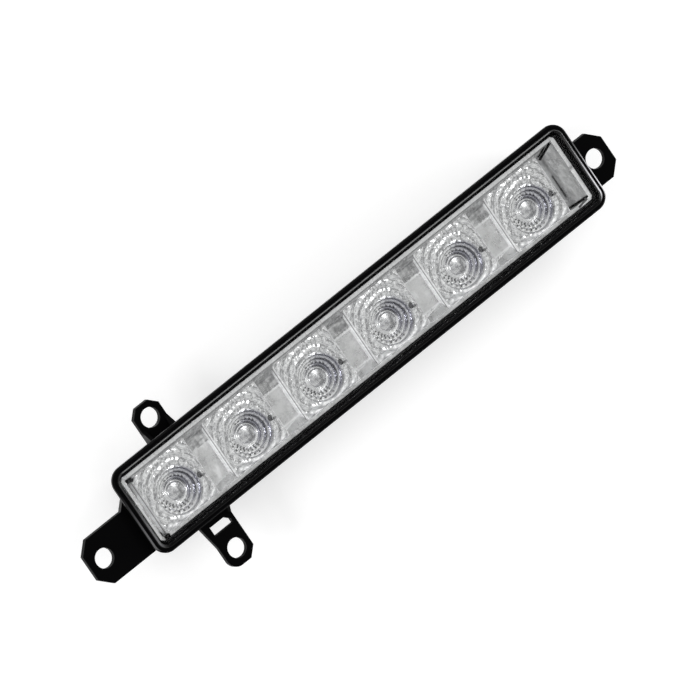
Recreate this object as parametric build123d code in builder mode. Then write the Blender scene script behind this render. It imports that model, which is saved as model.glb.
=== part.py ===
from build123d import *
import os

# Daytime running light: six LED optics in a bright tray behind a clear cover, in a black housing whose tub is
# raked back from its face, with two end lugs and two side lugs. Millimetres. The cover faces +Z, the length
# runs along X, and the flat back of the housing is the plane z = 0 under the middle of the rim.

# Row of optics, and the room round it inside the rim's outer edge
CELL_COUNT = 6
CELL_PITCH = 30.0
OPTIC_WIDTH = 22.0
OPTIC_HEIGHT = 22.2
LEFT_ROOM = 7.75
RIGHT_ROOM = 11.75
LOWER_ROOM = 4.35
UPPER_ROOM = 5.55

# Front rim of the housing
RIM_CORNER = 5.0
RIM_EDGE = 1.4
RIM_BEVEL = 0.5
BEAD_INSET = 1.6
BEAD_WIDTH = 1.0
BEAD_RISE = 1.0
BEAD_BEVEL = 0.4
OPENING_INSET = 3.4
OPENING_DEPTH = 3.6

# Raked tub behind the rim: how far each rear edge lies inside the edge in front of it
RIM_OVERHANG = 0.65
REAR_IN_LEFT = 11.4
REAR_IN_RIGHT = 4.1
REAR_IN_UPPER = 8.2
REAR_IN_LOWER = -2.0
REAR_CORNER = 4.0
WALL = 1.8
BACK_WALL = 2.0
CORING_DEPTH = 1.5
CORING_COUNT = 6
CORING_RIB = 3.0

# Fixing lugs: each hole's distance from the rim's edge, and each front face's depth behind the rim's land
LUG_THICKNESS = 2.2
LUG_HOLE_R = 3.3
END_LUG_Y = -5.18
END_LUG_WIDTH = 17.0
END_LUG_MARGIN = 5.8
END_LUG_CHAMFER = 4.0
LEFT_LUG_REACH = 14.05
LEFT_LUG_DROP = 5.0
LEFT_LUG_FLARE = 2.9
RIGHT_LUG_REACH = 7.65
RIGHT_LUG_DROP = 12.8
SIDE_LUG_FROM_END = 25.7
SIDE_LUG_WIDTH = 10.4
UPPER_LUG_REACH = 4.5
UPPER_LUG_MARGIN = 5.1
UPPER_LUG_CHAMFER = 2.7
UPPER_LUG_DROP = 8.0
LOWER_LUG_REACH = 14.6
LOWER_LUG_MARGIN = 5.5
LOWER_LUG_CHAMFER = 3.1
LOWER_LUG_ROUND = 3.6
LOWER_LUG_FLARE = 1.9
LOWER_LUG_DROP = 10.0
WINDOW_LENGTH = 7.6
WINDOW_WIDTH = 3.3
WINDOW_CHAMFER = 1.8
WINDOW_TO_HOLE = 8.85
WEB_THICKNESS = 1.2
WEB_HEIGHT = 5.0
WEB_LENGTH = 6.5

# Clear cover and its seal
LENS_THICKNESS = 2.0
LENS_BEVEL = 0.4
LENS_CLEARANCE = 0.15
LENS_SEAT_DEPTH = 1.7
SEAL_THICKNESS = 0.3
SEAL_MARGIN = 0.1

# A bevel this many times a corner's radius cuts the corner as deep as the round does
ROUND_TO_BEVEL = 2 - 2**0.5

# Each optic: a square block over a bevelled stub, with a facetted ring crater in its face, stepped down to
# a button
OPTIC_DROP = 5.0
OPTIC_LIP = 0.6
OPTIC_LIP_THICKNESS = 1.2
AXIS_DROP = 2.6
CRATER_RADII = (7.4, 6.1, 4.8)
CRATER_STEP = 1.1
CRATER_FACETS = 24
BUTTON_R = 3.1
BUTTON_RISE = 0.9
STUB_SIZE = 15.0
STUB_BEVEL = 4.4
STUB_HEIGHT = 5.2
LED_POCKET = 4.0
LED_POCKET_ROOM = 0.8
NOTCH_WIDTH = 2.4
NOTCH_DEPTH = 1.5
LEG_SIZE = 1.8
LEG_INSET_X = 2.5
LEG_INSET_Y = 3.1

# Reflector tray
TRAY_DROP = 2.5
TRAY_FLOOR_DROP = 9.0
TRAY_WALL = 1.2
TRAY_CLEARANCE = 0.35
TRAY_CORNER = 1.0
TRAY_LEFT_STRIP = 0.8
TRAY_RAMP_FOOT = 1.3
TRAY_LOWER_STRIP = 0.3
TRAY_HEADER = 3.9
POCKET_CLEARANCE = 0.15
POCKET_PROUD = 0.2
SILL_HEIGHT = 4.2
SILL_NARROW = 1.5
SILL_WIDE = 3.1
SLIT_WIDTH = 0.8
SLIT_START = 0.12
SLIT_END = 0.85
SLIT_PITCH = 1.3
SHORT_SLIT_START = 0.2
SHORT_SLIT_END = 0.6
CORNER_HOLE = 1.4
CORNER_HOLE_INSET = 1.0
POST_SIZE = 5.0
POST_Y = 2.0

# LEDs, board and cooling
LED_BASE = 3.5
LED_BASE_HEIGHT = 0.8
LED_PHOSPHOR = 2.2
LED_PHOSPHOR_HEIGHT = 0.3
LED_GAP = 0.2
BOARD_THICKNESS = 1.6
BOARD_CLEARANCE = 0.5
BOARD_CORNER = 2.0
PAD_THICKNESS = 0.5
PAD_MARGIN = 1.0
SINK_PLATE = 3.0
FIN_COUNT = 6
FIN_PITCH = 3.6
FIN_THICKNESS = 1.4
FIN_TO_BACK = 2.0
FIN_ROOM = 0.8
BOSS_WALL = 2.0

# Screws
SCREW_R = 1.25
SCREW_CLEARANCE = 0.25
THREAD_CLEARANCE = 0.05
SCREW_HEAD_R = 2.5
SCREW_HEAD_SIDES = 6
SCREW_HEAD_HEIGHT = 1.2
SCREW_BITE = 2.4
SCREW_TIP_ROOM = 0.3

# Connector socket and its blades
SOCKET_WIDTH = 16.0
SOCKET_HEIGHT = 5.0
SOCKET_WALL = 1.5
SOCKET_DEPTH = 9.5
SOCKET_REAR_WALL = 2.5
SOCKET_PROUD = 3.7
SOCKET_LIFT = 0.9
SOCKET_HEADROOM = 0.9
SOCKET_CLEARANCE = 0.1
BLADE_WIDTH = 2.0
BLADE_THICKNESS = 0.8
BLADE_PITCH = 4.0
BLADE_RECESS = 2.0
BLADE_PROUD = 0.6
BLADE_CLEARANCE = 0.2
BLADE_FIT = 0.05

# Driver parts on the board
CHIP_SIZE = (4.0, 5.0, 1.6)
INDUCTOR_SIZE = (5.8, 5.8, 3.0)
CAPACITOR_SIZE = (3.2, 1.6, 1.6)
DIODE_SIZE = (2.6, 4.4, 2.2)
PART_STEP = 7.0

# Breather cap on the back
VENT_CAP_R = 5.0
VENT_CAP_FACETS = 24
VENT_CAP_HEIGHT = 1.0
VENT_HOLE = 2.6

# Heights, stacked from the back wall to the rim's land
cavity_floor = CORING_DEPTH + BACK_WALL
socket_low = cavity_floor + SOCKET_LIFT
socket_high = socket_low + SOCKET_HEIGHT + 2 * SOCKET_WALL
sink_back = socket_high + SOCKET_HEADROOM
sink_top = sink_back + SINK_PLATE
board_back = sink_top + PAD_THICKNESS
board_top = board_back + BOARD_THICKNESS
stub_rear = board_top + LED_BASE_HEIGHT + LED_GAP
lip_back = stub_rear + STUB_HEIGHT
tray_back = lip_back + OPTIC_LIP_THICKNESS
tray_floor = tray_back + TRAY_WALL
rim_land = tray_floor + TRAY_FLOOR_DROP
tub_front = rim_land - RIM_EDGE
ledge_z = rim_land - LENS_SEAT_DEPTH
cavity_top = rim_land - OPENING_DEPTH
tray_top = rim_land - TRAY_DROP
optic_front = rim_land - OPTIC_DROP
fin_tip = cavity_floor + FIN_TO_BACK

# Plan sizes and places
row_length = (CELL_COUNT - 1) * CELL_PITCH + OPTIC_WIDTH
rim_length = row_length + LEFT_ROOM + RIGHT_ROOM
rim_width = OPTIC_HEIGHT + LOWER_ROOM + UPPER_ROOM
row_x = (LEFT_ROOM - RIGHT_ROOM) / 2
cell_x = [row_x + (i - (CELL_COUNT - 1) / 2) * CELL_PITCH for i in range(CELL_COUNT)]
gap_x = [x + CELL_PITCH / 2 for x in cell_x[:-1]]
optic_y = (LOWER_ROOM - UPPER_ROOM) / 2
axis_y = optic_y - AXIS_DROP
optic_low = optic_y - OPTIC_HEIGHT / 2
optic_high = optic_y + OPTIC_HEIGHT / 2


def rim(inset):
    """Left, right, low and high edges of the rim's outline, drawn in by inset."""
    half_length = rim_length / 2 - inset
    half_width = rim_width / 2 - inset
    return -half_length, half_length, -half_width, half_width


def tub(z, inset=0.0):
    """Left, right, low and high edges of the raked tub's outside at height z, drawn in by inset."""
    back = 1 - z / tub_front
    left, right, low, high = rim(RIM_OVERHANG + inset)
    return (
        left + REAR_IN_LEFT * back,
        right - REAR_IN_RIGHT * back,
        low + REAR_IN_LOWER * back,
        high - REAR_IN_UPPER * back,
    )


def middle(edges):
    """Centre of a plan rectangle given by its edges."""
    left, right, low, high = edges
    return (left + right) / 2, (low + high) / 2


def plate(edges, corner, mode=Mode.ADD):
    """Rounded rectangle with the given edges, in the sketch that is open."""
    left, right, low, high = edges
    with Locations(middle(edges)):
        RectangleRounded(right - left, high - low, corner, mode=mode)


def panel(edges):
    """Sharp-cornered rectangle with the given edges, in the sketch that is open."""
    left, right, low, high = edges
    with Locations(middle(edges)):
        Rectangle(right - left, high - low)


def outset(edges, amount):
    """Plan rectangle grown by amount on every side."""
    left, right, low, high = edges
    return left - amount, right + amount, low - amount, high + amount


def save(piece, name):
    """Labels a finished piece and writes its STEP file."""
    piece.label = name
    export_step(piece, f"parts/{name}.step")


os.makedirs("parts", exist_ok=True)

left_lug_x = -rim_length / 2 - LEFT_LUG_REACH
right_lug_x = rim_length / 2 + RIGHT_LUG_REACH
side_lug_x = -rim_length / 2 + SIDE_LUG_FROM_END
upper_lug_y = rim_width / 2 + UPPER_LUG_REACH
lower_lug_y = -rim_width / 2 - LOWER_LUG_REACH
left_lug_z = rim_land - LEFT_LUG_DROP
right_lug_z = rim_land - RIGHT_LUG_DROP
upper_lug_z = rim_land - UPPER_LUG_DROP
lower_lug_z = rim_land - LOWER_LUG_DROP
lug_left = side_lug_x - SIDE_LUG_WIDTH / 2
lug_right = side_lug_x + SIDE_LUG_WIDTH / 2

boss_size = 2 * (SCREW_R + SCREW_CLEARANCE + BOSS_WALL)
post_places = [(gap_x[0], POST_Y), (gap_x[-1], POST_Y)]

socket_x = gap_x[-1]
socket_z = (socket_low + socket_high) / 2
socket_mouth = tub(socket_z)[2] - SOCKET_PROUD
socket_rear = socket_mouth + SOCKET_DEPTH + SOCKET_REAR_WALL
blade_y = socket_rear + BLADE_THICKNESS / 2
blade_x = [socket_x - BLADE_PITCH / 2, socket_x + BLADE_PITCH / 2]

rear_edges = tub(0)
rear_y = middle(rear_edges)[1]
coring_pitch = (min(-rear_edges[0], rear_edges[1]) - CORING_RIB / 2) * 2 / CORING_COUNT
coring_width = rear_edges[3] - rear_edges[2] - 2 * CORING_RIB
coring_x = [(i - (CORING_COUNT - 1) / 2) * coring_pitch for i in range(CORING_COUNT)]
boss_places = [(coring_x[1], rear_y), (coring_x[-2], rear_y)]
vent_place = (coring_x[0], rear_y)

lens_inset = BEAD_INSET + BEAD_WIDTH + LENS_CLEARANCE
board_edges = tub(board_back, WALL + BOARD_CLEARANCE)
board_mid_y = middle(board_edges)[1]
tray_outer_top = rim(OPENING_INSET + TRAY_CLEARANCE)
tray_inner_top = rim(OPENING_INSET + TRAY_CLEARANCE + TRAY_WALL)
tray_inner_floor = (
    cell_x[0] - OPTIC_WIDTH / 2 - TRAY_LEFT_STRIP,
    cell_x[-1] + OPTIC_WIDTH / 2 + TRAY_RAMP_FOOT,
    optic_low - TRAY_LOWER_STRIP,
    optic_high - TRAY_HEADER,
)

# Housing
with BuildPart() as housing:
    # Raked tub, rim plate and the raised bead round the cover
    with BuildSketch():
        plate(tub(0), REAR_CORNER)
    with BuildSketch(Plane.XY.offset(tub_front)):
        plate(tub(tub_front), RIM_CORNER - RIM_OVERHANG)
    loft(ruled=True)
    with BuildSketch(Plane.XY.offset(tub_front)):
        plate(rim(0), RIM_CORNER)
    extrude(amount=RIM_EDGE)
    chamfer(housing.faces().sort_by(Axis.Z)[-1].edges(), RIM_BEVEL)
    with BuildSketch(Plane.XY.offset(rim_land)):
        plate(rim(BEAD_INSET), RIM_CORNER - BEAD_INSET)
        plate(rim(BEAD_INSET + BEAD_WIDTH), RIM_CORNER - BEAD_INSET - BEAD_WIDTH, Mode.SUBTRACT)
    extrude(amount=BEAD_RISE)
    chamfer(housing.faces().sort_by(Axis.Z)[-1].edges(), BEAD_BEVEL)

    # End lugs, chamfered at the tip
    for hole_x, face_z, side in ((left_lug_x, left_lug_z, -1), (right_lug_x, right_lug_z, 1)):
        tip = hole_x + side * END_LUG_MARGIN
        root = tub(face_z, WALL)[(side + 1) // 2]
        with BuildSketch(Plane.XY.offset(face_z - LUG_THICKNESS)) as end_lug:
            with Locations(((tip + root) / 2, END_LUG_Y)):
                Rectangle(abs(tip - root), END_LUG_WIDTH)
            chamfer(end_lug.vertices().sort_by_distance((tip, END_LUG_Y))[:2], END_LUG_CHAMFER)
        extrude(amount=LUG_THICKNESS)

    # Flare where the left lug's upper edge meets the end wall
    flare_x = tub(left_lug_z)[0]
    lug_edge = END_LUG_Y + END_LUG_WIDTH / 2
    with BuildSketch(Plane.XY.offset(left_lug_z - LUG_THICKNESS)):
        with BuildLine():
            Polyline(
                (flare_x - LEFT_LUG_FLARE, lug_edge),
                (flare_x + WALL, lug_edge),
                (flare_x + WALL, lug_edge + LEFT_LUG_FLARE),
                (flare_x, lug_edge + LEFT_LUG_FLARE),
                close=True,
            )
        make_face()
    extrude(amount=LUG_THICKNESS)

    # Upper side lug
    upper_tip = upper_lug_y + UPPER_LUG_MARGIN
    upper_root = tub(upper_lug_z, 2 * WALL)[3]
    with BuildSketch(Plane.XY.offset(upper_lug_z - LUG_THICKNESS)) as upper_lug:
        with Locations((side_lug_x, (upper_tip + upper_root) / 2)):
            Rectangle(SIDE_LUG_WIDTH, upper_tip - upper_root)
        chamfer(upper_lug.vertices().group_by(Axis.Y)[-1], UPPER_LUG_CHAMFER)
    extrude(amount=LUG_THICKNESS)

    # Lower side lug, flared on its left, with a window, one tip corner rounded and one chamfered
    lower_tip = lower_lug_y - LOWER_LUG_MARGIN
    lower_root = tub(lower_lug_z, WALL)[2]
    window_y = lower_lug_y + WINDOW_TO_HOLE
    with BuildSketch(Plane.XY.offset(lower_lug_z - LUG_THICKNESS)) as lower_lug:
        with BuildLine():
            Polyline(
                (lug_left, lower_tip),
                (lug_left, lower_lug_y + LUG_HOLE_R),
                (lug_left - LOWER_LUG_FLARE, -rim_width / 2),
                (lug_left - LOWER_LUG_FLARE, lower_root),
                (lug_right, lower_root),
                (lug_right, lower_tip + LOWER_LUG_CHAMFER),
                (lug_right - LOWER_LUG_CHAMFER, lower_tip),
                close=True,
            )
        make_face()
        fillet(lower_lug.vertices().sort_by_distance((lug_left, lower_tip))[0], LOWER_LUG_ROUND)
        with BuildLine():
            Polyline(
                (side_lug_x - WINDOW_LENGTH / 2, window_y - WINDOW_WIDTH / 2),
                (side_lug_x - WINDOW_LENGTH / 2, window_y + WINDOW_WIDTH / 2),
                (side_lug_x + WINDOW_LENGTH / 2 - WINDOW_CHAMFER, window_y + WINDOW_WIDTH / 2),
                (side_lug_x + WINDOW_LENGTH / 2, window_y + WINDOW_WIDTH / 2 - WINDOW_CHAMFER),
                (side_lug_x + WINDOW_LENGTH / 2, window_y - WINDOW_WIDTH / 2),
                close=True,
            )
        make_face(mode=Mode.SUBTRACT)
    extrude(amount=LUG_THICKNESS)

    # Webs that stiffen the side lugs along their edges
    for web_x, face_z, root_y, away in (
        (lug_right - WEB_THICKNESS, lower_lug_z, tub(lower_lug_z, WALL / 2)[2], -1),
        (lug_right - WEB_THICKNESS, upper_lug_z, tub(upper_lug_z, WALL / 2)[3], 1),
        (lug_left, upper_lug_z, tub(upper_lug_z, WALL / 2)[3], 1),
    ):
        with BuildSketch(Plane.YZ.offset(web_x)):
            with BuildLine():
                Polyline(
                    (root_y, face_z - LUG_THICKNESS / 2),
                    (root_y + away * WEB_LENGTH, face_z - LUG_THICKNESS / 2),
                    (root_y, face_z + WEB_HEIGHT),
                    close=True,
                )
            make_face()
        extrude(amount=WEB_THICKNESS)

    # Hollow of the tub, the opening in the rim and the seat for the cover
    for height, corner in ((cavity_floor, REAR_CORNER), (cavity_top, RIM_CORNER - RIM_OVERHANG)):
        with BuildSketch(Plane.XY.offset(height)) as hollow:
            panel(tub(height, WALL))
            chamfer(hollow.vertices(), (corner - WALL) * ROUND_TO_BEVEL)
    loft(ruled=True, mode=Mode.SUBTRACT)
    with BuildSketch(Plane.XY.offset(cavity_top)):
        plate(rim(OPENING_INSET), RIM_CORNER - OPENING_INSET)
    extrude(amount=rim_land - cavity_top, mode=Mode.SUBTRACT)
    with BuildSketch(Plane.XY.offset(ledge_z)):
        plate(rim(BEAD_INSET + BEAD_WIDTH), RIM_CORNER - BEAD_INSET - BEAD_WIDTH)
    extrude(amount=LENS_SEAT_DEPTH, mode=Mode.SUBTRACT)

    # Bosses for the heat sink, cored pockets in the back, and the holes through them
    with BuildSketch(Plane.XY.offset(CORING_DEPTH)):
        with Locations(*boss_places):
            Rectangle(boss_size, boss_size)
    extrude(amount=sink_back - CORING_DEPTH)
    with BuildSketch():
        with Locations(*[(x, rear_y) for x in coring_x]):
            Rectangle(coring_pitch - CORING_RIB, coring_width)
    extrude(amount=CORING_DEPTH, mode=Mode.SUBTRACT)
    with Locations(*[(x, y, sink_back) for x, y in boss_places]):
        Hole(SCREW_R + SCREW_CLEARANCE, sink_back)
    with BuildSketch():
        with Locations(vent_place):
            Rectangle(VENT_HOLE, VENT_HOLE)
    extrude(amount=cavity_floor, mode=Mode.SUBTRACT)

    # Hole for the connector socket in the lower wall
    with BuildSketch(Plane.XZ.offset(-socket_mouth)):
        with Locations((socket_x, socket_z)):
            Rectangle(
                SOCKET_WIDTH + 2 * (SOCKET_WALL + SOCKET_CLEARANCE),
                SOCKET_HEIGHT + 2 * (SOCKET_WALL + SOCKET_CLEARANCE),
            )
    extrude(amount=-(SOCKET_PROUD + 2 * WALL), mode=Mode.SUBTRACT)

    # Lug holes
    with Locations(
        (left_lug_x, END_LUG_Y, left_lug_z),
        (right_lug_x, END_LUG_Y, right_lug_z),
        (side_lug_x, upper_lug_y, upper_lug_z),
        (side_lug_x, lower_lug_y, lower_lug_z),
    ):
        Hole(LUG_HOLE_R, LUG_THICKNESS)
save(housing.part, "housing")

# Clear cover
with BuildPart() as outer_lens:
    with BuildSketch(Plane.XY.offset(ledge_z + SEAL_THICKNESS)):
        plate(rim(lens_inset), RIM_CORNER - lens_inset)
    extrude(amount=LENS_THICKNESS)
    chamfer(outer_lens.faces().sort_by(Axis.Z)[-1].edges(), LENS_BEVEL)
save(outer_lens.part, "outer_lens")

# Sealant between the cover and its ledge
with BuildPart() as lens_seal:
    with BuildSketch(Plane.XY.offset(ledge_z)):
        for inset, mode in ((lens_inset + SEAL_MARGIN, Mode.ADD), (OPENING_INSET, Mode.SUBTRACT)):
            with BuildSketch(mode=mode) as seal_outline:
                panel(rim(inset))
                chamfer(seal_outline.vertices(), (RIM_CORNER - inset) * ROUND_TO_BEVEL)
    extrude(amount=SEAL_THICKNESS)
save(lens_seal.part, "lens_seal")

# Reflector tray: sloped walls, six pockets for the optics, sills in the gaps and posts down to the board
with BuildPart() as reflector:
    for height, edges in ((tray_back, outset(tray_inner_floor, TRAY_WALL)), (tray_top, tray_outer_top)):
        with BuildSketch(Plane.XY.offset(height)) as tray_outline:
            panel(edges)
            chamfer(tray_outline.vertices(), TRAY_CORNER)
    loft(ruled=True)
    with BuildSketch(Plane.XY.offset(tray_floor)):
        panel(tray_inner_floor)
    with BuildSketch(Plane.XY.offset(tray_top)):
        panel(tray_inner_top)
    loft(ruled=True, mode=Mode.SUBTRACT)

    # Slanted sill at the lower side of each gap
    pocket_half = OPTIC_WIDTH / 2 + POCKET_CLEARANCE
    sill_low = tray_inner_floor[2] - TRAY_WALL / 2
    sill_floor = tray_floor - TRAY_WALL / 2
    for x in cell_x[:-1]:
        for sill_x, sill_width in (
            (x + pocket_half, SILL_NARROW),
            (x + CELL_PITCH - pocket_half, SILL_WIDE),
        ):
            with BuildSketch(Plane.YZ.offset(sill_x)):
                with BuildLine():
                    Polyline(
                        (sill_low, sill_floor),
                        (sill_low + TRAY_WALL / 2 + sill_width, sill_floor),
                        (sill_low, tray_floor + SILL_HEIGHT),
                        close=True,
                    )
                make_face()
        loft(ruled=True)

    # Pockets that the optics stand up through
    with BuildSketch(Plane.XY.offset(tray_back)):
        with Locations(*[(x, optic_y) for x in cell_x]):
            Rectangle(2 * pocket_half, OPTIC_HEIGHT + 2 * POCKET_CLEARANCE)
    extrude(amount=optic_front + POCKET_PROUD - tray_back, mode=Mode.SUBTRACT)

    # Slits along the ramp's two corners, and a small hole in each corner of the other end
    for edge in (2, 3):
        foot = Vector(tray_inner_floor[1], tray_inner_floor[edge])
        run = Vector(tray_inner_top[1], tray_inner_top[edge]) - foot
        with BuildSketch(Plane.XY.offset(tray_back)):
            with BuildLine():
                Line(foot + run * SLIT_START, foot + run * SLIT_END)
            trace(line_width=SLIT_WIDTH)
        extrude(amount=tray_top - tray_back, mode=Mode.SUBTRACT)
        hole_y = tray_inner_top[edge] + (1 if edge == 2 else -1) * CORNER_HOLE_INSET
        with BuildSketch(Plane.XY.offset(tray_back)):
            with Locations((tray_inner_top[0] + CORNER_HOLE_INSET, hole_y)):
                Rectangle(CORNER_HOLE, CORNER_HOLE)
        extrude(amount=tray_top - tray_back, mode=Mode.SUBTRACT)

    # Shorter slit in the upper wall, beside the one at the ramp's upper corner
    short_foot = foot + Vector(-run.Y, run.X).normalized() * SLIT_PITCH
    with BuildSketch(Plane.XY.offset(tray_back)):
        with BuildLine():
            Line(short_foot + run * SHORT_SLIT_START, short_foot + run * SHORT_SLIT_END)
        trace(line_width=SLIT_WIDTH)
    extrude(amount=tray_top - tray_back, mode=Mode.SUBTRACT)

    # Posts for the screws
    with BuildSketch(Plane.XY.offset(board_top)):
        with Locations(*post_places):
            Rectangle(POST_SIZE, POST_SIZE)
    extrude(amount=tray_back - board_top)
    with Locations(*[Location((x, y, board_top), (180, 0, 0)) for x, y in post_places]):
        Hole(SCREW_R + THREAD_CLEARANCE, SCREW_BITE + SCREW_TIP_ROOM)
save(reflector.part, "reflector")

# One optic about its own axis, then the row of them
with BuildPart() as optic:
    with BuildSketch(Plane.XY.offset(stub_rear)):
        Rectangle(STUB_SIZE, STUB_SIZE)
    extrude(amount=STUB_HEIGHT)
    chamfer(optic.faces().sort_by(Axis.Z)[0].edges(), STUB_BEVEL)
    with BuildSketch(Plane.XY.offset(tray_back)):
        with Locations((0, AXIS_DROP)):
            Rectangle(OPTIC_WIDTH, OPTIC_HEIGHT)
    extrude(amount=optic_front - tray_back)
    with BuildSketch(Plane.XY.offset(lip_back)):
        with Locations((0, AXIS_DROP)):
            Rectangle(OPTIC_WIDTH + 2 * OPTIC_LIP, OPTIC_HEIGHT)
    extrude(amount=OPTIC_LIP_THICKNESS)
    with BuildSketch(Plane.XY.offset(board_top)):
        with Locations((0, AXIS_DROP)):
            with GridLocations(OPTIC_WIDTH - 2 * LEG_INSET_X, OPTIC_HEIGHT - 2 * LEG_INSET_Y, 2, 2):
                Rectangle(LEG_SIZE, LEG_SIZE)
    extrude(amount=lip_back - board_top)
    for step, radius in enumerate(CRATER_RADII):
        step_front = optic_front - step * CRATER_STEP
        with BuildSketch(Plane.XY.offset(step_front)):
            RegularPolygon(radius, CRATER_FACETS)
        extrude(amount=-CRATER_STEP, mode=Mode.SUBTRACT)
    with BuildSketch(Plane.XY.offset(step_front - CRATER_STEP)):
        RegularPolygon(BUTTON_R, CRATER_FACETS)
    extrude(amount=BUTTON_RISE)
    with BuildSketch(Plane.XY.offset(stub_rear)):
        Rectangle(LED_POCKET, LED_POCKET)
    extrude(amount=LED_PHOSPHOR_HEIGHT + LED_POCKET_ROOM, mode=Mode.SUBTRACT)
    with BuildSketch(Plane.XY.offset(tray_floor)):
        with BuildLine():
            Polyline(
                (OPTIC_WIDTH / 2, NOTCH_WIDTH / 2),
                (OPTIC_WIDTH / 2 - NOTCH_DEPTH, 0),
                (OPTIC_WIDTH / 2, -NOTCH_WIDTH / 2),
                close=True,
            )
        make_face()
    extrude(amount=optic_front - tray_floor, mode=Mode.SUBTRACT)

# One LED: ceramic base with its phosphor square
with BuildPart() as led:
    with BuildSketch(Plane.XY.offset(board_top)):
        Rectangle(LED_BASE, LED_BASE)
    extrude(amount=LED_BASE_HEIGHT)
    with BuildSketch(Plane.XY.offset(board_top + LED_BASE_HEIGHT)):
        Rectangle(LED_PHOSPHOR, LED_PHOSPHOR)
    extrude(amount=LED_PHOSPHOR_HEIGHT)

for number, x in enumerate(cell_x, start=1):
    place = Location((x, axis_y, 0))
    save(optic.part.moved(place), f"optic_{number}")
    save(led.part.moved(place), f"led_{number}")

# Circuit board
with BuildPart() as led_board:
    with BuildSketch(Plane.XY.offset(board_back)) as board_outline:
        panel(board_edges)
        chamfer(board_outline.vertices(), BOARD_CORNER)
        with Locations(*post_places):
            Circle(SCREW_R + SCREW_CLEARANCE, mode=Mode.SUBTRACT)
        with Locations(*[(x, blade_y) for x in blade_x]):
            Rectangle(
                BLADE_WIDTH + 2 * BLADE_CLEARANCE,
                BLADE_THICKNESS + 2 * BLADE_CLEARANCE,
                mode=Mode.SUBTRACT,
            )
    extrude(amount=BOARD_THICKNESS)
save(led_board.part, "led_board")

# Soft pad between the board and the heat sink
blade_slot = (BLADE_PITCH + BLADE_WIDTH + 2 * FIN_ROOM, BLADE_THICKNESS + 2 * FIN_ROOM)
with BuildPart() as thermal_pad:
    with BuildSketch(Plane.XY.offset(sink_top)):
        panel(tub(sink_back, WALL + BOARD_CLEARANCE + PAD_MARGIN))
        with Locations(*post_places):
            Circle(SCREW_R + SCREW_CLEARANCE, mode=Mode.SUBTRACT)
        with Locations((socket_x, blade_y)):
            Rectangle(*blade_slot, mode=Mode.SUBTRACT)
    extrude(amount=PAD_THICKNESS)
save(thermal_pad.part, "thermal_pad")

# Heat sink: plate with fins that run along the lamp, cut away round the bosses, screw heads and socket
fin_edges = tub(fin_tip, WALL + BOARD_CLEARANCE)
socket_bay_width = SOCKET_WIDTH + 2 * (SOCKET_WALL + FIN_ROOM)
socket_bay_end = socket_rear + BLADE_THICKNESS + FIN_ROOM
with BuildPart() as heat_sink:
    with BuildSketch(Plane.XY.offset(sink_back)) as sink_outline:
        panel(tub(sink_back, WALL + BOARD_CLEARANCE))
        chamfer(sink_outline.vertices(), BOARD_CORNER)
    extrude(amount=SINK_PLATE)
    with BuildSketch(Plane.XY.offset(fin_tip)):
        with Locations(middle(fin_edges)):
            with GridLocations(0, FIN_PITCH, 1, FIN_COUNT):
                Rectangle(fin_edges[1] - fin_edges[0], FIN_THICKNESS)
        with Locations(*boss_places):
            Rectangle(boss_size + 2 * FIN_ROOM, boss_size + 2 * FIN_ROOM, mode=Mode.SUBTRACT)
        with Locations(*post_places):
            Rectangle(2 * (SCREW_HEAD_R + FIN_ROOM), 2 * (SCREW_HEAD_R + FIN_ROOM), mode=Mode.SUBTRACT)
        with Locations((socket_x, (socket_mouth + socket_bay_end) / 2)):
            Rectangle(socket_bay_width, socket_bay_end - socket_mouth, mode=Mode.SUBTRACT)
    extrude(amount=sink_back - fin_tip)
    with BuildSketch(Plane.XY.offset(sink_back)):
        with Locations((socket_x, blade_y)):
            Rectangle(*blade_slot)
        with Locations(*post_places):
            Circle(SCREW_R + SCREW_CLEARANCE)
    extrude(amount=SINK_PLATE, mode=Mode.SUBTRACT)
    with Locations(*[Location((x, y, sink_back), (180, 0, 0)) for x, y in boss_places]):
        Hole(SCREW_R + THREAD_CLEARANCE, SCREW_BITE + SCREW_TIP_ROOM)
save(heat_sink.part, "heat_sink")

# Screws: heat sink and board to the reflector's posts, and housing to the heat sink
for name, places, head_z, tip_z in (
    ("reflector_screws", post_places, sink_back, board_top + SCREW_BITE),
    ("housing_screws", boss_places, CORING_DEPTH, sink_back + SCREW_BITE),
):
    with BuildPart() as screws:
        with BuildSketch(Plane.XY.offset(head_z - SCREW_HEAD_HEIGHT)):
            with Locations(*places):
                RegularPolygon(SCREW_HEAD_R, SCREW_HEAD_SIDES)
        extrude(amount=SCREW_HEAD_HEIGHT)
        with BuildSketch(Plane.XY.offset(head_z)):
            with Locations(*places):
                Circle(SCREW_R)
        extrude(amount=tip_z - head_z)
    save(screws.part, name)

# Connector socket through the lower wall
with BuildPart() as connector_socket:
    with BuildSketch(Plane.XZ.offset(-socket_mouth)):
        with Locations((socket_x, socket_z)):
            Rectangle(SOCKET_WIDTH + 2 * SOCKET_WALL, SOCKET_HEIGHT + 2 * SOCKET_WALL)
    extrude(amount=-(SOCKET_DEPTH + SOCKET_REAR_WALL))
    with BuildSketch(Plane.XZ.offset(-socket_mouth)):
        with Locations((socket_x, socket_z)):
            Rectangle(SOCKET_WIDTH, SOCKET_HEIGHT)
    extrude(amount=-SOCKET_DEPTH, mode=Mode.SUBTRACT)
    with BuildSketch(Plane.XZ.offset(-socket_rear)):
        with Locations(*[(x, socket_z) for x in blade_x]):
            Rectangle(BLADE_WIDTH + 2 * BLADE_FIT, BLADE_THICKNESS + 2 * BLADE_FIT)
    extrude(amount=SOCKET_REAR_WALL, mode=Mode.SUBTRACT)
save(connector_socket.part, "connector_socket")

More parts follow.
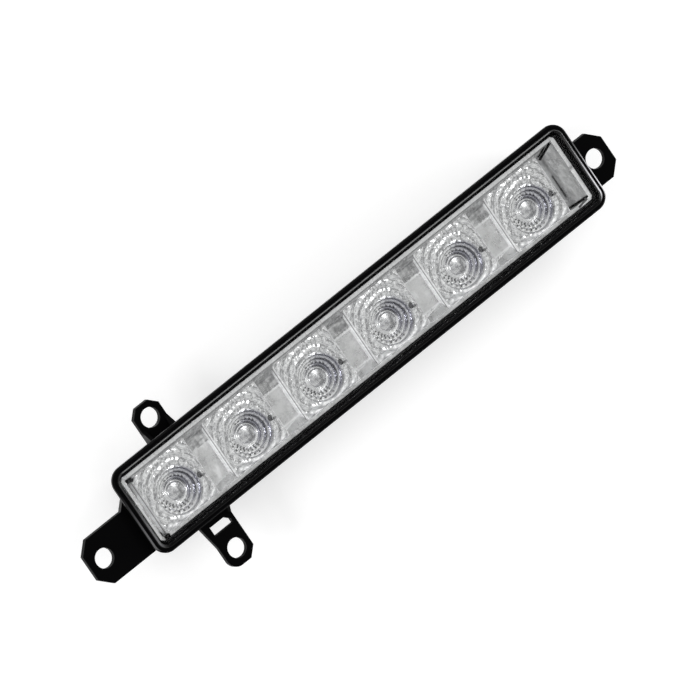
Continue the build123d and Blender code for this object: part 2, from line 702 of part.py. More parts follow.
# Blades from the socket up to the board
with BuildPart() as connector_terminals:
    blade_low = socket_z - BLADE_THICKNESS / 2
    blade_high = socket_z + BLADE_THICKNESS / 2
    for x in blade_x:
        with BuildSketch(Plane.YZ.offset(x - BLADE_WIDTH / 2)):
            with BuildLine():
                Polyline(
                    (socket_mouth + BLADE_RECESS, blade_low),
                    (socket_rear + BLADE_THICKNESS, blade_low),
                    (socket_rear + BLADE_THICKNESS, board_top + BLADE_PROUD),
                    (socket_rear, board_top + BLADE_PROUD),
                    (socket_rear, blade_high),
                    (socket_mouth + BLADE_RECESS, blade_high),
                    close=True,
                )
            make_face()
        extrude(amount=BLADE_WIDTH)
save(connector_terminals.part, "connector_terminals")

# Driver parts, in two of the gaps between the optics
driver_x, power_x = gap_x[1], gap_x[-2]
with BuildPart() as driver_chip:
    with BuildSketch(Plane.XY.offset(board_top)):
        with Locations((driver_x, board_mid_y)):
            Rectangle(CHIP_SIZE[0], CHIP_SIZE[1])
    extrude(amount=CHIP_SIZE[2])
save(driver_chip.part, "driver_chip")

with BuildPart() as capacitors:
    with BuildSketch(Plane.XY.offset(board_top)):
        with Locations((driver_x, board_mid_y)):
            with GridLocations(0, 2 * PART_STEP, 1, 2):
                Rectangle(CAPACITOR_SIZE[0], CAPACITOR_SIZE[1])
    extrude(amount=CAPACITOR_SIZE[2])
save(capacitors.part, "capacitors")

with BuildPart() as inductor:
    with BuildSketch(Plane.XY.offset(board_top)):
        with Locations((power_x, board_mid_y)):
            Rectangle(INDUCTOR_SIZE[0], INDUCTOR_SIZE[1])
    extrude(amount=INDUCTOR_SIZE[2])
save(inductor.part, "inductor")

with BuildPart() as diode:
    with BuildSketch(Plane.XY.offset(board_top)):
        with Locations((power_x, board_mid_y + PART_STEP)):
            Rectangle(DIODE_SIZE[0], DIODE_SIZE[1])
    extrude(amount=DIODE_SIZE[2])
save(diode.part, "diode")

# Breather cap over the hole in the back wall
with BuildPart() as vent_cap:
    with BuildSketch(Plane.XY.offset(CORING_DEPTH - VENT_CAP_HEIGHT)):
        with Locations(vent_place):
            RegularPolygon(VENT_CAP_R, VENT_CAP_FACETS)
    extrude(amount=VENT_CAP_HEIGHT)
save(vent_cap.part, "vent_cap")
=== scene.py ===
import math

import bpy
import numpy as np
from bpy.props import FloatProperty, FloatVectorProperty, IntProperty, PointerProperty
from mathutils import Matrix, Vector


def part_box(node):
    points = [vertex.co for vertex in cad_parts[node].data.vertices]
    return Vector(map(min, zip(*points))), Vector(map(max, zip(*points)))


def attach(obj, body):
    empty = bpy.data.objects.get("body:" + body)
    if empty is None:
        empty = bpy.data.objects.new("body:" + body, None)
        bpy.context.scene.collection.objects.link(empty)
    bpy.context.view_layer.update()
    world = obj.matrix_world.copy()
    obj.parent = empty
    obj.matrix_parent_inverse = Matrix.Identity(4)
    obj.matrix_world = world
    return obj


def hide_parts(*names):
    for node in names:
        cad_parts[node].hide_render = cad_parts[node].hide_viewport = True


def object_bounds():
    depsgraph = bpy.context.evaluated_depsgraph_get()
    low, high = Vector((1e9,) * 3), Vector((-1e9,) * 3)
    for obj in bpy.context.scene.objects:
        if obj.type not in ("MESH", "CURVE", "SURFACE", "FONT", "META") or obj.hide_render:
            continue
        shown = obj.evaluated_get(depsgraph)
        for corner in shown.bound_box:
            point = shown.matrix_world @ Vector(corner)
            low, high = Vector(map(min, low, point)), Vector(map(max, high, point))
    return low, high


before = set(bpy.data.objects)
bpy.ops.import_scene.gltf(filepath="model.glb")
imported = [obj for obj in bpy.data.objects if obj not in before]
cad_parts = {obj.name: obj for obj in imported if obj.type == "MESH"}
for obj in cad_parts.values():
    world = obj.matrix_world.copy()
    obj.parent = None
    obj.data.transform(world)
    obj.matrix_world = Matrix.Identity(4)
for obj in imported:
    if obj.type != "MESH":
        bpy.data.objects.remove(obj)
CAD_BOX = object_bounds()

bl_info = {
    "name": "Daytime Running Light",
    "version": (1, 0, 0),
    "blender": (4, 5, 0),
    "location": "View3D > Sidebar > Lamp",
    "description": "Dimpled optics, finishes, stage and camera for a daytime running light",
    "category": "Object",
}

MM = 0.001
CELLS = 6
SQUARE = ((-1, -1), (1, -1), (1, 1), (-1, 1))
OPTIC_LOW, OPTIC_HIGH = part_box("optic_1")
OPTIC_HALF_X = (OPTIC_HIGH.x - OPTIC_LOW.x) / 2
OPTIC_HALF_Y = (OPTIC_HIGH.y - OPTIC_LOW.y) / 2
OPTIC_LIP = 0.6 * MM
CELL_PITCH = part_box("optic_2")[0].x - OPTIC_LOW.x
BOARD_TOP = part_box("led_board")[1].z
LED_BASE_TOP = BOARD_TOP + 0.8 * MM

# How uneven the dimples are on the crater's steps and outside it, and how far the outer ones reach
STEP_JITTER = 0.3
FRONT_JITTER = 0.75
FRONT_REACH = 20 * MM
# Fewest dimples in a ring, half size of a dimple, and distance of the first outer ring, both in pitches
DIMPLES_LEAST = 6
DIMPLE_HALF = 0.72
FIRST_RING = 0.62
# Waves that bend the ripples round the crater: size, waves in a turn, and start
RIPPLE_WAVES = ((1.3, 3, 0.7), (0.9, 5, 0.0))
SHARP_ANGLE = math.radians(50)
# Painted shade and dark reflections in an optic's crater: their radii, their width, and the directions that
# they lie in, in radians
DOT_RADII = (6.5 * MM, 5.2 * MM, 4.4 * MM)
CUT_RADIUS = 5.0 * MM
ARC_RADIUS = 3.85 * MM
SIDE_RADIUS = 6.3 * MM
MARK_WIDTH = 0.35 * MM
RIGHT = 0.2
ABOVE = 1.2
BELOW = -2.4
# Shaded right side of the crater: the radii over which it starts and ends
SHADE_START = (3.5 * MM, 4.3 * MM)
SHADE_END = (8.8 * MM, 7.4 * MM)
# Grey arcs outside the crater, painted as darker streaks among the reflections: their width, how often they
# break on a turn, and their shift along the row
SWIRL_WIDTH = 0.7 * MM
SWIRL_BREAKS = 6.0
SWIRL_SHIFT = 37 * MM
# Painted shade of the tray's corner opening on the first optic's corner, the dark line that splits the
# painted glow on an optic's sides, and the tail of its notch
CORNER_SHADE = (-87.9 * MM, 9.2 * MM)
SIDE_LINE_DROP = 1.9 * MM
TAIL_HALF = (0.9 * MM, 0.45 * MM)
TAIL_DROP = 0.8 * MM

# Rim of the housing: half its length and width, its corners, its front, its land and its rear
RIM_HALF_X = 95.75 * MM
RIM_HALF_Y = 16.05 * MM
RIM_CORNER = 5.0 * MM
RIM_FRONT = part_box("housing")[1].z
RIM_LAND = RIM_FRONT - 1.0 * MM
RIM_REAR = RIM_FRONT - 2.6 * MM
# Where the bead's ends start, and where the lugs start past the rim
BEAD_END = (86 * MM, 91 * MM)
LUG_START_X = 96.5 * MM
LUG_START_Y = 16.8 * MM
# Painted highlight lines on the rim's ends: distance from its edge, half width, and half width of the full
# line
HIGHLIGHT_LINES = ((0.25 * MM, 0.3 * MM, 0.2 * MM), (1.9 * MM, 0.42 * MM, 0.18 * MM))
# Where they start along the lamp, grow and stop across it, and their strength at the left end
HIGHLIGHT_END = (90.5 * MM, 93 * MM)
HIGHLIGHT_RISE = (17 * MM, -11 * MM)
HIGHLIGHT_FOOT = (-14 * MM, -11.5 * MM)
LEFT_HIGHLIGHT = 0.15

TRAY_FLOOR = 27.0 * MM
TRAY_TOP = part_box("reflector")[1].z
# The slits are painted dark, as shade in them
# Slits at the tray's ramp: each foot, its run to the head, where along the run it starts and ends, and its
# half width
RAMP_FOOT = 85.3 * MM
RAMP_HEAD = 90.8 * MM
RAMP_SLITS = (
    (RAMP_FOOT, -12.0 * MM, 5.5 * MM, 0.9 * MM, 0.0, 1.0, 0.9 * MM),
    (RAMP_FOOT, 6.6 * MM, 5.5 * MM, 4.5 * MM, 0.12, 0.85, 0.6 * MM),
    (RAMP_FOOT - 0.82 * MM, 7.61 * MM, 5.5 * MM, 4.5 * MM, 0.2, 0.6, 0.6 * MM),
)
SLIT_FADE = 0.06
# Painted shade along the ramp's foot: its lower and its upper end
FOOT_SHADE_LOW = (-8.4 * MM, -7.6 * MM)
FOOT_SHADE_HIGH = (0.9 * MM, 0.1 * MM)
# Plain floor of a panel between two optics: where its header starts, and its foot
PANEL_TOP = 2.7 * MM
PANEL_FOOT = -9.2 * MM
# Panel at the tray's plain end, with more painted glare and no painted outline, and the pitch of the ridges
# on every header
FIRST_PANEL = (-45 * MM, -57 * MM)
RIDGE_PITCH = 1.6 * MM
# Openings in the corners of the tray's plain end, painted dark as shade, and where their edge fades
TRAY_CORNERS = ((-88.9 * MM, 9.6 * MM), (-89.4 * MM, -11.6 * MM))
CORNER_EDGE = (1.25 * MM, 1.05 * MM)
# Inner edge of the tray's plain end, where the lip's painted shade fades out, so that it stays bright
PLAIN_END = (-90 * MM, -87 * MM)

COVER_IOR = 1.49
COVER_GLINT = 0.18
FLOOR_HALF = 10.0
FLOOR_GAP = 0.05 * MM
SENSOR_WIDTH = 36.0
# Strip lamps that draw the rim's edges: name, direction, size in metres, and share of the strips' level
STRIP_DISTANCE = 0.9
STRIPS = (
    ("strip_behind", (0.31, 0.92, 0.23), (0.9, 0.06), 1.0),
    ("strip_left", (-0.92, -0.23, 0.31), (0.5, 0.06), 0.15),
    ("strip_right", (0.91, -0.38, 0.17), (0.5, 0.08), 2.2),
)
# Axes of the picture in the lamp's frame: to its right, up it, and out of it to the camera
PICTURE = Matrix(((0.7424, -0.5471, 0.3867), (0.5933, 0.8050, 0.0), (-0.3113, 0.2294, 0.9222)))
PICTURE_MIDDLE = (-3.45 * MM, -3.762 * MM)


def length(name, description, default):
    """A size in metres that a user may change."""
    return FloatProperty(name=name, description=description, default=default, unit="LENGTH", precision=5)


def colour(name, description, default):
    """A colour that a user may change."""
    return FloatVectorProperty(
        name=name, description=description, default=default, subtype="COLOR", min=0.0, max=1.0
    )


def share(name, description, default):
    """A number from 0 to 1 that a user may change."""
    return FloatProperty(
        name=name, description=description, default=default, subtype="FACTOR", min=0.0, max=1.0
    )


def whole(name, description, default, least):
    """A whole number that a user may change."""
    return IntProperty(name=name, description=description, default=default, min=least)


class LampOpticShape(bpy.types.PropertyGroup):
    """Sizes of an optic: its crater, and the dimples that cover its front."""

    net: length("Net", "Width of one cell of the front's net", 0.135 * MM)
    axis_drop: length("Axis drop", "How far the crater's axis lies below the middle of the front", 2.6 * MM)
    lip: length("Lip", "How far the lip stands out at each side", OPTIC_LIP)
    lip_thickness: length("Lip thickness", "Thickness of the lip under the tray", 1.2 * MM)
    block: length("Block", "Height of the block over the lip", 5.2 * MM)
    step_radius: length("Step radius", "Radius of the crater's outermost step", 7.4 * MM)
    step_pitch: length("Step pitch", "Width of each step of the crater", 1.3 * MM)
    step_drop: length("Step drop", "Depth of each step of the crater", 1.1 * MM)
    step_wall: length("Step wall", "Width over which a step's wall falls", 0.32 * MM)
    steps: whole("Steps", "Steps of the crater", 3, 1)
    flutes: whole("Flutes", "Dimples round each step of the crater", 24, 6)
    button_radius: length("Button radius", "Radius of the button over the LED", 3.1 * MM)
    button_rise: length("Button rise", "Height of the button's edge over the crater's floor", 0.9 * MM)
    button_dome: length("Button dome", "Height of the button's dome over its edge", 0.6 * MM)
    ridge_radius: length("Ridge radius", "Radius of the ridge round the button", 4.0 * MM)
    ridge_width: length("Ridge width", "Width of the ridge round the button", 0.7 * MM)
    ridge_rise: length("Ridge rise", "Height of the ridge round the button", 0.3 * MM)
    dimple_pitch: length("Dimple pitch", "Distance from one ring of dimples to the next", 1.35 * MM)
    dimple_width: length("Dimple width", "Length of a dimple along its ring", 1.5 * MM)
    dimple_depth: length("Dimple depth", "Depth of a dimple", 0.16 * MM)
    ripple_pitch: length("Ripple pitch", "Distance from one ripple round the crater to the next", 2.5 * MM)
    ripple_depth: length("Ripple depth", "Half the depth of a ripple", 0.11 * MM)
    margin: length("Margin", "Edge over which the dimples run out", 0.8 * MM)
    seed: whole("Seed", "Start of the chance that makes the dimples uneven", 7, 0)
    notch_width: length("Notch width", "Width of the notch near the right side", 2.0 * MM)
    notch_depth: length("Notch depth", "Length of the notch towards the right side", 1.5 * MM)
    notch_inset: length("Notch inset", "Distance of the notch's middle from the right side", 2.3 * MM)
    notch_floor: length("Notch floor", "Height of the notch's floor over the block's back", 4.5 * MM)
    # Painted glow: the optic's sides give out light, standing in for highlights there
    painted_side_glow: share("Side glow", "Light that the clear optic passes out of its sides", 0.2)
    stub: length("Stub", "Width of the stub over the LED", 15.0 * MM)
    stub_height: length("Stub height", "Height of the stub", 5.2 * MM)
    stub_bevel: length("Stub bevel", "Bevel round the stub's rear", 4.4 * MM)
    pocket: length("Pocket", "Width of the pocket for the LED", 4.0 * MM)
    pocket_depth: length("Pocket depth", "Depth of the pocket for the LED", 1.1 * MM)
    leg: length("Leg", "Width of a leg", 1.8 * MM)
    leg_inset_x: length("Leg inset X", "Distance of a leg's axis from the block's side", 2.5 * MM)
    leg_inset_y: length("Leg inset Y", "Distance of a leg's axis from the block's edge", 3.1 * MM)


class LampColours(bpy.types.PropertyGroup):
    """Colours of the lamp's finishes."""

    # The faces toward the front are painted darker than the sides and back, as shade
    plastic: colour("Plastic", "Moulded black plastic", (0.0006, 0.0006, 0.0007))
    plastic_worn: colour("Plastic, worn", "Paler patches of the black plastic", (0.0012, 0.0012, 0.0014))
    side: colour("Side", "Grained black plastic of the sides and the back", (0.004, 0.004, 0.0042))
    side_worn: colour("Side, worn", "Paler patches of the sides", (0.008, 0.008, 0.0084))
    # Painted highlight along the edges of the black plastic's sides
    edge: colour("Edge", "Rubbed edges of the black plastic", (0.02, 0.02, 0.021))
    # Pale tone of the painted highlight lines on the rim's ends
    rim_highlight: colour("Gleam", "Polished edges at the rim's ends", (0.8, 0.8, 0.83))
    cover: colour("Cover", "Clear cover", (0.985, 0.988, 0.985))
    tray: colour("Tray", "Metallised tray", (0.82, 0.82, 0.825))
    tray_dull: colour("Tray, dull", "Duller patches of the tray", (0.6, 0.6, 0.605))
    # Painted shade on the tray's ramp, headers and lip, and darker streaks on its land
    tray_shade_and_streaks: colour("Tray, dark", "Darker metal of the tray's ramp and edge", (0.36, 0.36, 0.365))
    # Also the tone of the tray's painted highlights and glare, and of the optics' painted glow
    optic: colour("Optic", "Clear optic over bright metal", (0.96, 0.96, 0.97))
    # Painted shade on the walls of the crater's steps
    optic_ring_shade: colour("Optic rings", "Walls of the optic's crater", (0.11, 0.11, 0.135))
    optic_shade: colour("Optic shade", "Shaded side of the optic's crater", (0.36, 0.36, 0.42))
    # Painted shade and dark reflections in the optic, and its dark notch
    optic_dark: colour("Optic dark", "Dark spots in the optic", (0.03, 0.03, 0.035))
    # Painted grey that dims the optic's reflections, in arcs and on the button
    optic_grey: colour("Optic grey", "Greyer arcs of the optic", (0.5, 0.5, 0.52))
    # Cured sealant, and the painted shade in the tray's slits, corner openings and along the ramp's foot
    seal: colour("Seal", "Cured sealant", (0.004, 0.004, 0.0042))
    board: colour("Board", "White solder mask", (0.8, 0.81, 0.79))
    ceramic: colour("Ceramic", "Base of an LED", (0.82, 0.82, 0.8))
    phosphor: colour("Phosphor", "Face of an LED", (0.9, 0.72, 0.12))
    pad: colour("Pad", "Filled silicone", (0.45, 0.48, 0.53))
    sink: colour("Heat sink", "Bare extruded aluminium", (0.68, 0.68, 0.7))
    zinc: colour("Zinc", "Plated screws", (0.62, 0.62, 0.58))
    nylon: colour("Nylon", "Socket", (0.02, 0.02, 0.022))
    tin: colour("Tin", "Plated blades", (0.74, 0.72, 0.68))
    epoxy: colour("Epoxy", "Chip and diode", (0.02, 0.02, 0.02))
    ferrite: colour("Ferrite", "Inductor", (0.09, 0.09, 0.1))
    fired: colour("Fired ceramic", "Capacitors", (0.5, 0.36, 0.22))
    breather: colour("Breather", "Breather cap", (0.035, 0.035, 0.036))


class LampStage(bpy.types.PropertyGroup):
    """Floor, light and camera."""

    floor: colour("Floor", "Pale floor", (0.66, 0.66, 0.66))
    floor_glow: share("Floor glow", "Light that the floor adds in the picture", 0.5)
    bright_side: share("Bright side", "Light from the upper left of the picture", 0.86)
    dark_side: share("Dark side", "Light from the lower right of the picture", 0.47)
    key: share("Key", "Level of the small lamp at the left", 0.32)
    fill: share("Fill", "Level of the softbox at the upper right", 0.12)
    strip: share("Strips", "Level of the strip lamps that draw the rim's edges", 0.14)
    patches: share("Patches", "Contrast of the studio's bright and dark patches", 0.55)
    patch_size: FloatProperty(
        name="Patch size", description="Size of the studio's patches", default=0.42, min=0.05
    )
    view_width: length("View width", "Width of the picture at the lamp's rim", 221.3 * MM)
    view_distance: length("View distance", "Distance of the camera from the rim", 6000.0 * MM)


class Signal:
    """A shader socket in a Python expression: each operator on it adds a Math node."""

    def __init__(self, net, socket):
        self.net = net
        self.socket = socket

    def other(self, name):
        """Another output of the same node."""
        return Signal(self.net, self.socket.node.outputs[name])

    def math(self, operation, first, second=0.0):
        """A Math node of any operation."""
        return self.net.add("ShaderNodeMath", {"operation": operation}, {0: first, 1: second})

    def __add__(self, value):
        return self.math("ADD", self, value)

    def __radd__(self, value):
        return self.math("ADD", value, self)

    def __sub__(self, value):
        return self.math("SUBTRACT", self, value)

    def __rsub__(self, value):
        return self.math("SUBTRACT", value, self)

    def __mul__(self, value):
        return self.math("MULTIPLY", self, value)

    def __rmul__(self, value):
        return self.math("MULTIPLY", value, self)

    def __truediv__(self, value):
        return self.math("DIVIDE", self, value)

    def __rtruediv__(self, value):
        return self.math("DIVIDE", value, self)

    def __pow__(self, value):
        return self.math("POWER", self, value)

    def __rpow__(self, value):
        return self.math("POWER", value, self)

    def __abs__(self):
        return self.math("ABSOLUTE", self)

    def cosine(self):
        return self.math("COSINE", self)

    def sine(self):
        return self.math("SINE", self)


class Net:
    """A tree of shader nodes."""

    def __init__(self, tree):
        self.tree = tree
        tree.nodes.clear()

    def add(self, kind, settings=None, sockets=None, out=0):
        """Adds a node: its settings first, then the values or links of its sockets. Gives one output."""
        node = self.tree.nodes.new(kind)
        for name, value in (settings or {}).items():
            setattr(node, name, value)
        for key, value in (sockets or {}).items():
            if isinstance(value, Signal):
                self.tree.links.new(value.socket, node.inputs[key])
            else:
                node.inputs[key].default_value = value
        return Signal(self, node.outputs[out]) if len(node.outputs) else None

    def place(self):
        """Place on the surface, in the piece's own frame."""
        return self.add("ShaderNodeTexCoord", out="Object")

    def axes(self, vector):
        """X, Y and Z of a vector."""
        x = self.add("ShaderNodeSeparateXYZ", None, {0: vector})
        return x, x.other("Y"), x.other("Z")

    def flat(self):
        """Direction that the surface faces, without bumps and rounded edges."""
        return self.add("ShaderNodeNewGeometry", out="True Normal")

    def noise(self, size, detail=3.0, rough=0.55, stretch=None):
        """Soft noise with features of the given size in metres, stretched along the axes."""
        vector = self.place()
        if stretch:
            vector = self.add("ShaderNodeVectorMath", {"operation": "MULTIPLY"}, {0: vector, 1: stretch})
        sockets = {"Vector": vector, "Scale": 1 / size, "Detail": detail, "Roughness": rough}
        return self.add("ShaderNodeTexNoise", None, sockets)

    def ease(self, value, low, high):
        """0 below low, 1 above high, and smooth between them."""
        settings = {"interpolation_type": "SMOOTHSTEP"}
        return self.add("ShaderNodeMapRange", settings, {"Value": value, "From Min": low, "From Max": high})

    def line(self, value, middle, reach, core):
        """1 up to the core's distance from the middle, 0 past the reach, and smooth between them."""
        return self.ease(abs(value - middle), reach, core)

    def clamp(self, value):
        """The value, kept between 0 and 1."""
        return self.add("ShaderNodeClamp", None, {0: value})

    def ridge(self, value, middle, width, level):
        """Falls straight from the level at the middle, by 1 in each width, kept between 0 and 1."""
        return self.clamp(level - abs(value - middle) / width)

    def blend(self, factor, first, second):
        """Mix of two colours."""
        tones = {0: factor, 6: first, 7: second}
        for key in (6, 7):
            if not isinstance(tones[key], Signal):
                tones[key] = (*tones[key][:3], 1.0)
        return self.add("ShaderNodeMix", {"data_type": "RGBA"}, tones, out=2)

    def bump(self, height, depth, normal=None):
        """Normal of a surface with bumps of the given depth in metres."""
        sockets = {"Height": height, "Distance": depth, "Strength": 1.0}
        if normal is not None:
            sockets["Normal"] = normal
        return self.add("ShaderNodeBump", None, sockets)

    def round_edges(self, radius):
        """Normal that rounds the edges of a solid."""
        return self.add("ShaderNodeBevel", {"samples": 6}, {"Radius": radius})

    def surface(self, **sockets):
        """A Principled shader. Socket names are written with underscores."""
        named = {key.replace("_", " "): value for key, value in sockets.items()}
        for key in ("Base Color", "Emission Color"):
            if key in named and not isinstance(named[key], Signal):
                named[key] = (*named[key][:3], 1.0)
        return self.add("ShaderNodeBsdfPrincipled", None, named)

    def mix(self, factor, first, second):
        """Mix of two shaders."""
        return self.add("ShaderNodeMixShader", None, {0: factor, 1: first, 2: second})

    def show(self, shader, kind="ShaderNodeOutputMaterial"):
        """Ends the net with its output."""
        self.add(kind, None, {"Surface": shader})


def distance(x, y):
    """Length of a flat vector, in shader maths."""
    return (x * x + y * y) ** 0.5


def finish(name):
    """A new material and its net."""
    material = bpy.data.materials.new(name)
    material.use_nodes = True
    return material, Net(material.node_tree)


def dress(material, *names):
    """Gives solids of the frame a finish."""
    for name in names:
        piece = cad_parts[name]
        if not piece.material_slots:
            piece.data.materials.append(material)
        for slot in piece.material_slots:
            slot.material = material


def speckled(name, tone, grain, rough, metal=0.0, depth=0.0, stretch=None, shine=0.5):
    """Finish whose tone and gloss vary with a grain of the given size."""
    material, net = finish(name)
    patch = net.noise(grain * 8, stretch=stretch)
    fine = net.noise(grain, detail=5.0, rough=0.65, stretch=stretch)
    dark = [part * 0.75 for part in tone]
    pale = [min(1.0, part * 1.125) for part in tone]
    normal = net.round_edges(0.12 * MM)
    if depth:
        normal = net.bump(fine, depth, normal)
    net.show(net.surface(
        Base_Color=net.blend(net.clamp(patch * 0.6 + fine * 0.4), dark, pale),
        Roughness=net.clamp(rough + (fine - 0.5) * 0.3),
        Metallic=metal,
        Specular_IOR_Level=shine,
        Normal=normal,
    ))
    return material


def stack(rings, centre):
    """Closed shell through rectangles stacked along Z. Each ring is a height and two half widths."""
    points = []
    faces = []
    for height, half_x, half_y in rings:
        for side_x, side_y in SQUARE:
            points.append((centre[0] + side_x * half_x, centre[1] + side_y * half_y, height))
    for level in range(len(rings) - 1):
        base = 4 * level
        for side in range(4):
            after = (side + 1) % 4
            faces.append((base + side, base + after, base + 4 + after, base + 4 + side))
    top = 4 * (len(rings) - 1)
    faces.append((3, 2, 1, 0))
    faces.append((top, top + 1, top + 2, top + 3))
    return points, faces


def dimple_rings(x, y, pitch, width, first, last, jitter, chance):
    """Depth, from 0 to about 1, of uneven dimples that lie in rings and run into one another."""
    depth = np.zeros_like(x)
    ring = first
    while ring < last:
        count = max(DIMPLES_LEAST, round(2 * math.pi * ring / width))
        turn = chance.uniform(0, 2 * math.pi)
        for number in range(count):
            lap = turn + (number + jitter * chance.uniform(-0.5, 0.5)) * 2 * math.pi / count
            middle = ring + jitter * pitch * chance.uniform(-0.5, 0.5)
            away = x * math.cos(lap) + y * math.sin(lap) - middle
            along = y * math.cos(lap) - x * math.sin(lap)
            reach = 1 + jitter * chance.uniform(-0.25, 0.5)
            bowl = 1 - (away / (DIMPLE_HALF * pitch * reach)) ** 2
            bowl = bowl - (along / (DIMPLE_HALF * width * reach)) ** 2
            depth = np.maximum(depth, bowl * (1 + jitter * chance.uniform(-0.6, 0.25)))
        ring += pitch
    return depth


def optic_front(shape, x, y):
    """Depth of an optic's front behind its plane, over points round the crater's axis."""
    chance = np.random.default_rng(shape.seed)
    radius = np.hypot(x, y)
    depth = np.zeros_like(radius)
    for step in range(shape.steps):
        edge = shape.step_radius - step * shape.step_pitch
        fall = np.clip((edge - radius) / shape.step_wall + 0.5, 0, 1)
        depth += shape.step_drop * fall * fall * (3 - 2 * fall)
        if step:
            middle = edge + shape.step_pitch / 2
            flute = 2 * math.pi * middle / shape.flutes
            rows = dimple_rings(
                x, y, shape.step_pitch, flute, middle, middle + shape.step_pitch / 2, STEP_JITTER, chance
            )
            on_step = np.abs(radius - middle) < shape.step_pitch / 2
            depth += shape.dimple_depth * np.where(on_step, rows, 0)
    button = np.clip((shape.button_radius - radius) / shape.step_wall + 0.5, 0, 1)
    dome = np.clip(1 - (radius / shape.button_radius) ** 2, 0, 1)
    depth -= shape.button_rise * button * button * (3 - 2 * button) + shape.button_dome * dome
    ridge = np.clip(1 - ((radius - shape.ridge_radius) / (shape.ridge_width / 2)) ** 2, 0, 1)
    depth -= shape.ridge_rise * ridge
    outer = shape.step_radius + shape.dimple_pitch * FIRST_RING
    rows = dimple_rings(
        x, y, shape.dimple_pitch, shape.dimple_width, outer, FRONT_REACH, FRONT_JITTER, chance
    )
    lap = np.arctan2(y, x)
    phase = sum(size * np.sin(waves * lap + start) for size, waves, start in RIPPLE_WAVES)
    ripple = 1 + np.sin(2 * math.pi * (radius - shape.step_radius) / shape.ripple_pitch + phase)
    outside = shape.dimple_depth * rows + shape.ripple_depth * ripple
    depth += np.where(radius > shape.step_radius, outside, 0)
    return depth


def optic_mesh(shape):
    """Mesh of one optic round its own axis: dimpled block, lip, stub and legs, each a closed shell."""
    middle = Vector((0.0, shape.axis_drop))
    half_x = OPTIC_HALF_X - shape.lip
    half_y = OPTIC_HALF_Y
    front = OPTIC_HIGH.z
    back = front - shape.block
    count_x = round(2 * half_x / shape.net) + 1
    count_y = round(2 * half_y / shape.net) + 1
    grid_x, grid_y = np.meshgrid(
        np.linspace(-half_x, half_x, count_x),
        middle.y + np.linspace(-half_y, half_y, count_y),
    )
    to_edge = np.minimum(half_x - np.abs(grid_x), half_y - np.abs(grid_y - middle.y))
    inside = np.clip(to_edge / shape.margin, 0, 1)
    mean_depth = shape.ripple_depth + shape.dimple_depth / 2
    height = front - mean_depth - (optic_front(shape, grid_x, grid_y) - mean_depth) * inside
    notch_x = (grid_x - half_x + shape.notch_inset) / (shape.notch_depth / 2)
    in_notch = np.hypot(notch_x, grid_y / (shape.notch_width / 2)) < 1
    height[in_notch] = back + shape.notch_floor

    points = [np.column_stack((grid_x.ravel(), grid_y.ravel(), height.ravel()))]
    index = np.arange(count_x * count_y).reshape(count_y, count_x)
    quads = np.stack((index[:-1, :-1], index[:-1, 1:], index[1:, 1:], index[1:, :-1]), axis=-1)
    faces = quads.reshape(-1, 4).tolist()
    rim = np.concatenate((index[0, :-1], index[:-1, -1], index[-1, :0:-1], index[:0:-1, 0]))
    foot = points[0][rim].copy()
    foot[:, 2] = back
    points.append(foot)
    start = count_x * count_y
    for place in range(len(rim)):
        after = (place + 1) % len(rim)
        faces.append([int(rim[after]), int(rim[place]), start + place, start + after])
    faces.append([start + place for place in reversed(range(len(rim)))])

    lip_back = back - shape.lip_thickness
    stub_back = lip_back - shape.stub_height
    half_stub = shape.stub / 2
    half_pocket = shape.pocket / 2
    shells = [
        stack([
            (lip_back, half_x + shape.lip, half_y),
            (back, half_x + shape.lip, half_y),
        ], middle),
        stack([
            (stub_back + shape.pocket_depth, half_pocket, half_pocket),
            (stub_back, half_pocket, half_pocket),
            (stub_back, half_stub - shape.stub_bevel, half_stub - shape.stub_bevel),
            (stub_back + shape.stub_bevel, half_stub, half_stub),
            (lip_back, half_stub, half_stub),
        ], (0.0, 0.0)),
    ]
    for side_x in (-1, 1):
        for side_y in (-1, 1):
            leg_x = side_x * (half_x - shape.leg_inset_x)
            leg_y = middle.y + side_y * (half_y - shape.leg_inset_y)
            half_leg = shape.leg / 2
            shells.append(stack([
                (BOARD_TOP, half_leg, half_leg),
                (lip_back, half_leg, half_leg),
            ], (leg_x, leg_y)))
    start = sum(len(part) for part in points)
    for shell_points, shell_faces in shells:
        points.append(np.array(shell_points))
        faces += [[start + corner for corner in face] for face in shell_faces]
        start += len(shell_points)

    mesh = bpy.data.meshes.new("dimpled_optic")
    mesh.from_pydata(np.concatenate(points).tolist(), [], faces)
    mesh.validate()
    smooth = np.zeros(len(mesh.polygons), bool)
    smooth[: (count_x - 1) * (count_y - 1)] = True
    mesh.polygons.foreach_set("use_smooth", smooth)
    mesh.set_sharp_from_angle(angle=SHARP_ANGLE)
    return mesh


